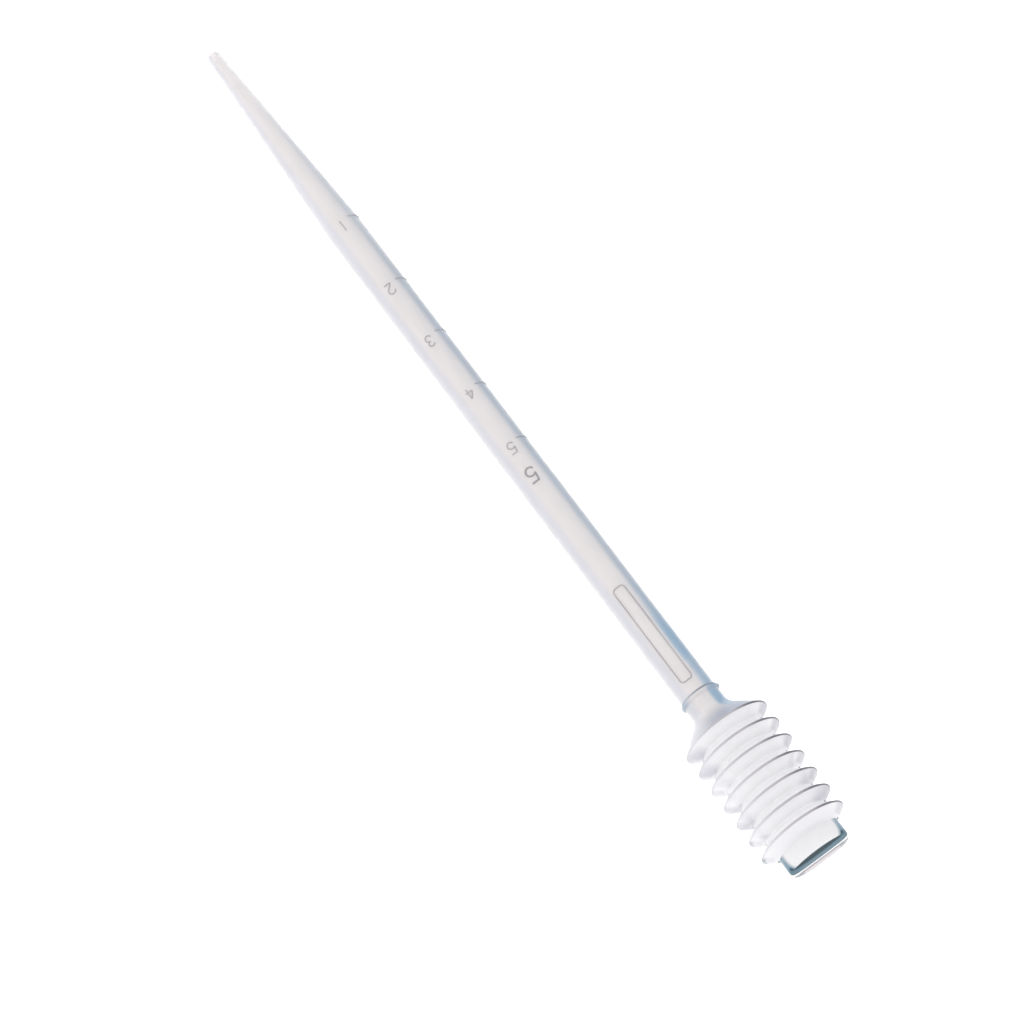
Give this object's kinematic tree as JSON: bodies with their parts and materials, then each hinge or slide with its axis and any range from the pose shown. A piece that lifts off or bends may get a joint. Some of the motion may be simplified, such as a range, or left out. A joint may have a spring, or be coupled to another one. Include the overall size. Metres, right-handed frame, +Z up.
{
  "type": "medicine dropper",
  "caption": "Moulded plastic dropper: tapered outlet, graduated barrel and a bellows bulb with a push-button end that is pressed to draw up and release measured liquid.",
  "frame": {"origin": "on the surface that the dropper lies on, under the middle of its bounding box", "axes": "+X along the dropper as it lies, towards the bulb, so that the dropper's own axis rises 2.3 degrees towards +X; +Z up; +Y to the side of the graduation marks"},
  "size_m": [0.2774, 0.0234, 0.0246],
  "materials": {
    "stem_plastic": "satin, milky translucent polyethylene",
    "bellows_plastic": "satin, milky translucent polyethylene",
    "button_plastic": "gloss, clear thick polyethylene",
    "raised_marks": "satin, raised from the barrel"
  },
  "bodies": {
    "stem": {"tip_nozzle": "stem_plastic", "tapered_stem": "stem_plastic", "graduated_barrel": "stem_plastic", "retaining_bead": "stem_plastic", "shoulder": "stem_plastic", "bellows_fold_1": "bellows_plastic", "mark_1_ml": "raised_marks", "mark_2_ml": "raised_marks", "mark_3_ml": "raised_marks", "mark_4_ml": "raised_marks", "mark_5_ml": "raised_marks", "figure_1": "raised_marks", "figure_2": "raised_marks", "figure_3": "raised_marks", "figure_4": "raised_marks", "figure_5": "raised_marks", "capacity_figure_5": "raised_marks", "blank_name_panel": "raised_marks"},
    "fold_2": {"bellows_fold_2": "bellows_plastic"},
    "fold_3": {"bellows_fold_3": "bellows_plastic"},
    "fold_4": {"bellows_fold_4": "bellows_plastic"},
    "fold_5": {"bellows_fold_5": "bellows_plastic"},
    "fold_6": {"bellows_fold_6": "bellows_plastic"},
    "fold_7": {"bellows_fold_7": "bellows_plastic"},
    "button": {"button_wall": "button_plastic", "button_end_wall": "button_plastic", "pinch_off_ridge": "button_plastic"}
  },
  "joints": [
    {"name": "button_press", "type": "slide", "parent": "stem", "child": "button", "axis": [-0.9992, 0, -0.0405], "range_m": [0, 0.02], "stiffness_N_per_m": 300, "deforming": ["bellows_fold_1"]},
    {"name": "fold_2_slide", "type": "slide", "parent": "stem", "child": "fold_2", "axis": [-0.9992, 0, -0.0405], "range_m": [0, 0.00177], "deforming": ["bellows_fold_2"]},
    {"name": "fold_3_slide", "type": "slide", "parent": "stem", "child": "fold_3", "axis": [-0.9992, 0, -0.0405], "range_m": [0, 0.00481], "deforming": ["bellows_fold_3"]},
    {"name": "fold_4_slide", "type": "slide", "parent": "stem", "child": "fold_4", "axis": [-0.9992, 0, -0.0405], "range_m": [0, 0.00785], "deforming": ["bellows_fold_4"]},
    {"name": "fold_5_slide", "type": "slide", "parent": "stem", "child": "fold_5", "axis": [-0.9992, 0, -0.0405], "range_m": [0, 0.01089], "deforming": ["bellows_fold_5"]},
    {"name": "fold_6_slide", "type": "slide", "parent": "stem", "child": "fold_6", "axis": [-0.9992, 0, -0.0405], "range_m": [0, 0.01393], "deforming": ["bellows_fold_6"]},
    {"name": "fold_7_slide", "type": "slide", "parent": "stem", "child": "fold_7", "axis": [-0.9992, 0, -0.0405], "range_m": [0, 0.01697], "deforming": ["bellows_fold_7"]}
  ],
  "couplings": [
    {"joint": "fold_2_slide", "follows": "button_press", "ratio": 0.08795},
    {"joint": "fold_3_slide", "follows": "button_press", "ratio": 0.23996},
    {"joint": "fold_4_slide", "follows": "button_press", "ratio": 0.39197},
    {"joint": "fold_5_slide", "follows": "button_press", "ratio": 0.54397},
    {"joint": "fold_6_slide", "follows": "button_press", "ratio": 0.69598},
    {"joint": "fold_7_slide", "follows": "button_press", "ratio": 0.84799}
  ]
}
